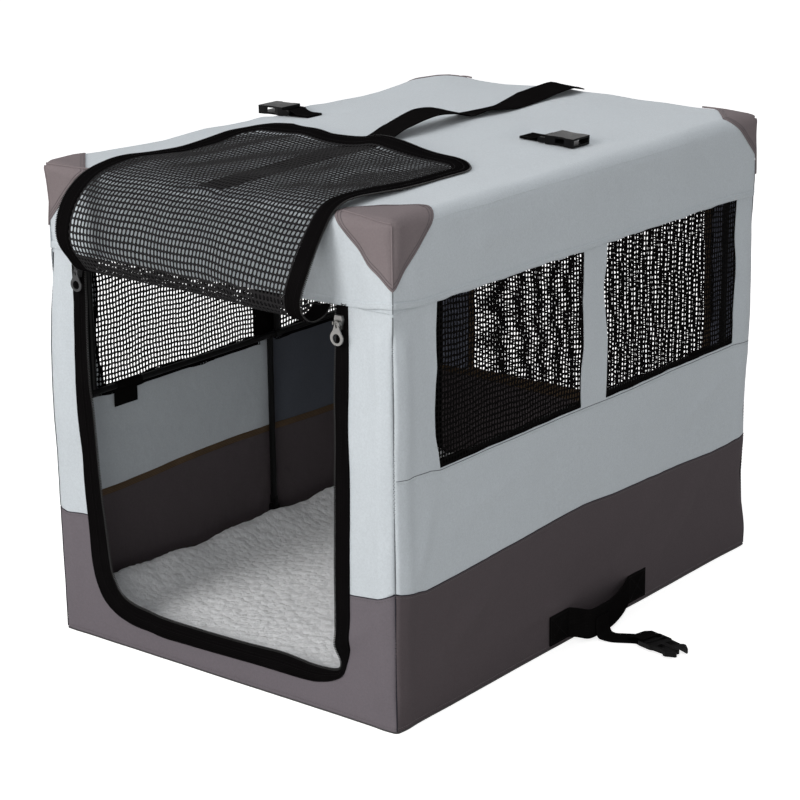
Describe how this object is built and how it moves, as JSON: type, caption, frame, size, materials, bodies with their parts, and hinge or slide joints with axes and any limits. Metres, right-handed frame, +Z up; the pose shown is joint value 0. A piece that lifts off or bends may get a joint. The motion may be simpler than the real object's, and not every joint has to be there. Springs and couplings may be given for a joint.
{
  "type": "soft-sided dog crate",
  "caption": "Folding soft-sided dog crate: fabric walls on a hinged steel tube frame, mesh windows, roll-back zip door, carry handles.",
  "frame": {"origin": "on the floor under the middle of the crate, on the underside of its floor panel", "axes": "+X to the crate's right as seen from its door, +Y from the door to the back wall, +Z up"},
  "size_m": [0.8378, 0.8379, 0.6387],
  "materials": {
    "light_fabric": "coated woven polyester, pale blue-grey",
    "dark_fabric": "coated woven polyester, dark taupe grey",
    "binding": "black woven binding tape",
    "net": "black coated polyester net",
    "webbing": "black polypropylene webbing",
    "plastic": "black moulded acetal",
    "frame_steel": "black powder-coated steel tube",
    "zip_metal": "nickel-plated zinc",
    "fleece": "off-white deep pile fleece",
    "floor_fabric": "dark coated woven polyester"
  },
  "bodies": {
    "base": {"base_rail": "frame_steel", "floor_panel": "floor_fabric", "fleece_pad": "fleece", "front_kick_panel": "dark_fabric", "front_panel_left": "light_fabric", "front_panel_right": "light_fabric", "door_zip_tape": "binding", "back_kick_panel": "dark_fabric", "back_panel": "light_fabric", "back_window_net": "net", "left_kick_panel": "dark_fabric", "left_panel": "light_fabric", "left_window_net_front": "net", "left_window_net_rear": "net", "right_kick_panel": "dark_fabric", "right_panel": "light_fabric", "right_window_net_front": "net", "right_window_net_rear": "net"},
    "left_lower_legs": {"left_lower_leg_frame": "frame_steel", "left_frame_tab_front": "binding", "left_frame_tab_rear": "binding"},
    "left_upper_legs": {"left_upper_leg_front": "frame_steel", "left_upper_leg_middle": "frame_steel", "left_upper_leg_rear": "frame_steel"},
    "right_lower_legs": {"right_lower_leg_frame": "frame_steel", "right_frame_tab_front": "binding", "right_frame_tab_rear": "binding"},
    "right_upper_legs": {"right_upper_leg_front": "frame_steel", "right_upper_leg_middle": "frame_steel", "right_upper_leg_rear": "frame_steel"},
    "top": {"top_rail": "frame_steel", "roof_cover": "light_fabric", "corner_patch_front_left": "dark_fabric", "corner_patch_front_right": "dark_fabric", "corner_patch_back_left": "dark_fabric", "corner_patch_back_right": "dark_fabric", "carry_strap": "webbing", "roof_webbing_left": "webbing", "roof_webbing_right": "webbing"},
    "door_1": {"door_flap_1": "binding"},
    "door_2": {"door_flap_2": "net"},
    "door_3": {"door_flap_3": "net"},
    "door_4": {"door_flap_4": "net"},
    "door_5": {"door_flap_5": "net"},
    "slider_left": {"zip_slider_left": "zip_metal"},
    "slider_right": {"zip_slider_right": "zip_metal"},
    "pull_left": {"zip_pull_left": "zip_metal"},
    "pull_right": {"zip_pull_right": "zip_metal"},
    "socket_left": {"roof_buckle_left": "plastic"},
    "socket_right": {"roof_buckle_right": "plastic"},
    "handle_left": {"side_handle_left": "webbing"},
    "handle_right": {"side_handle_right": "webbing"},
    "strap_left": {"pack_strap_left": "webbing", "male_buckle_left": "plastic"},
    "strap_right": {"pack_strap_right": "webbing", "male_buckle_right": "plastic"}
  },
  "joints": [
    {"name": "frame_fold", "type": "hinge", "parent": "base", "child": "left_lower_legs", "pos_m": [-0.263, 0, 0.055], "axis": [0, 1, 0], "range_deg": [0, 84], "deforming": ["front_kick_panel", "front_panel_left", "front_panel_right", "door_zip_tape", "back_kick_panel", "back_panel", "back_window_net", "left_kick_panel", "left_panel", "left_window_net_front", "left_window_net_rear", "right_kick_panel", "right_panel", "right_window_net_front", "right_window_net_rear"]},
    {"name": "left_knee", "type": "hinge", "parent": "left_lower_legs", "child": "left_upper_legs", "pos_m": [-0.263, 0, 0.305], "axis": [0, 1, 0], "range_deg": [-168, 0]},
    {"name": "top_pivot", "type": "hinge", "parent": "left_upper_legs", "child": "top", "pos_m": [-0.263, 0, 0.555], "axis": [0, 1, 0], "range_deg": [0, 84]},
    {"name": "right_fold", "type": "hinge", "parent": "base", "child": "right_lower_legs", "pos_m": [0.263, 0, 0.055], "axis": [0, 1, 0], "range_deg": [-84, 0]},
    {"name": "right_knee", "type": "hinge", "parent": "right_lower_legs", "child": "right_upper_legs", "pos_m": [0.263, 0, 0.305], "axis": [0, 1, 0], "range_deg": [0, 168]},
    {"name": "door_roll", "type": "hinge", "parent": "top", "child": "door_1", "pos_m": [-0.008, -0.3972, 0.5035], "axis": [-1, 0, 0], "range_deg": [-80, 0]},
    {"name": "door_bend_2", "type": "hinge", "parent": "door_1", "child": "door_2", "pos_m": [-0.008, -0.42527, 0.49855], "axis": [-1, 0, 0], "range_deg": [-80, 0]},
    {"name": "door_bend_3", "type": "hinge", "parent": "door_2", "child": "door_3", "pos_m": [-0.008, -0.44237, 0.54554], "axis": [-1, 0, 0], "range_deg": [-43, 0]},
    {"name": "door_bend_4", "type": "hinge", "parent": "door_3", "child": "door_4", "pos_m": [-0.008, -0.42322, 0.59064], "axis": [-1, 0, 0], "range_deg": [-38.5, 0]},
    {"name": "door_bend_5", "type": "hinge", "parent": "door_4", "child": "door_5", "pos_m": [-0.008, -0.37313, 0.61784], "axis": [-1, 0, 0], "range_deg": [-28, 0]},
    {"name": "zip_slide_left", "type": "slide", "parent": "top", "child": "slider_left", "axis": [0, 0, 1], "range_m": [-0.36, 0]},
    {"name": "zip_slide_right", "type": "slide", "parent": "top", "child": "slider_right", "axis": [0, 0, 1], "range_m": [-0.36, 0]},
    {"name": "zip_pull_swing_left", "type": "hinge", "parent": "slider_left", "child": "pull_left", "pos_m": [-0.2145, -0.4027, 0.486], "axis": [-1, 0, 0], "range_deg": [0, 150]},
    {"name": "zip_pull_swing_right", "type": "hinge", "parent": "slider_right", "child": "pull_right", "pos_m": [0.1985, -0.4027, 0.486], "axis": [-1, 0, 0], "range_deg": [0, 150]},
    {"name": "buckle_lift_left", "type": "hinge", "parent": "top", "child": "socket_left", "pos_m": [-0.24, 0.045, 0.6135], "axis": [0, 1, 0], "range_deg": [0, 80]},
    {"name": "buckle_lift_right", "type": "hinge", "parent": "top", "child": "socket_right", "pos_m": [0.1535, 0.075, 0.61701], "axis": [0, -1, 0], "range_deg": [0, 80]},
    {"name": "handle_lift_left", "type": "hinge", "parent": "base", "child": "handle_left", "pos_m": [-0.2726, 0, 0.046], "axis": [0, 1, 0], "range_deg": [0, 60]},
    {"name": "handle_lift_right", "type": "hinge", "parent": "base", "child": "handle_right", "pos_m": [0.2726, 0, 0.046], "axis": [0, -1, 0], "range_deg": [0, 60]},
    {"name": "strap_lift_left", "type": "hinge", "parent": "handle_left", "child": "strap_left", "pos_m": [-0.2989, -0.004, 0.03], "axis": [0, 1, 0], "range_deg": [0, 40]},
    {"name": "strap_lift_right", "type": "hinge", "parent": "handle_right", "child": "strap_right", "pos_m": [0.2989, -0.004, 0.03], "axis": [0, -1, 0], "range_deg": [0, 40]}
  ],
  "couplings": [
    {"joint": "left_knee", "follows": "frame_fold", "ratio": -2},
    {"joint": "top_pivot", "follows": "frame_fold", "ratio": 1},
    {"joint": "right_fold", "follows": "frame_fold", "ratio": -1},
    {"joint": "right_knee", "follows": "frame_fold", "ratio": 2},
    {"joint": "door_bend_2", "follows": "door_roll", "ratio": 1},
    {"joint": "door_bend_3", "follows": "door_roll", "ratio": 0.5375},
    {"joint": "door_bend_4", "follows": "door_roll", "ratio": 0.48125},
    {"joint": "door_bend_5", "follows": "door_roll", "ratio": 0.35}
  ]
}
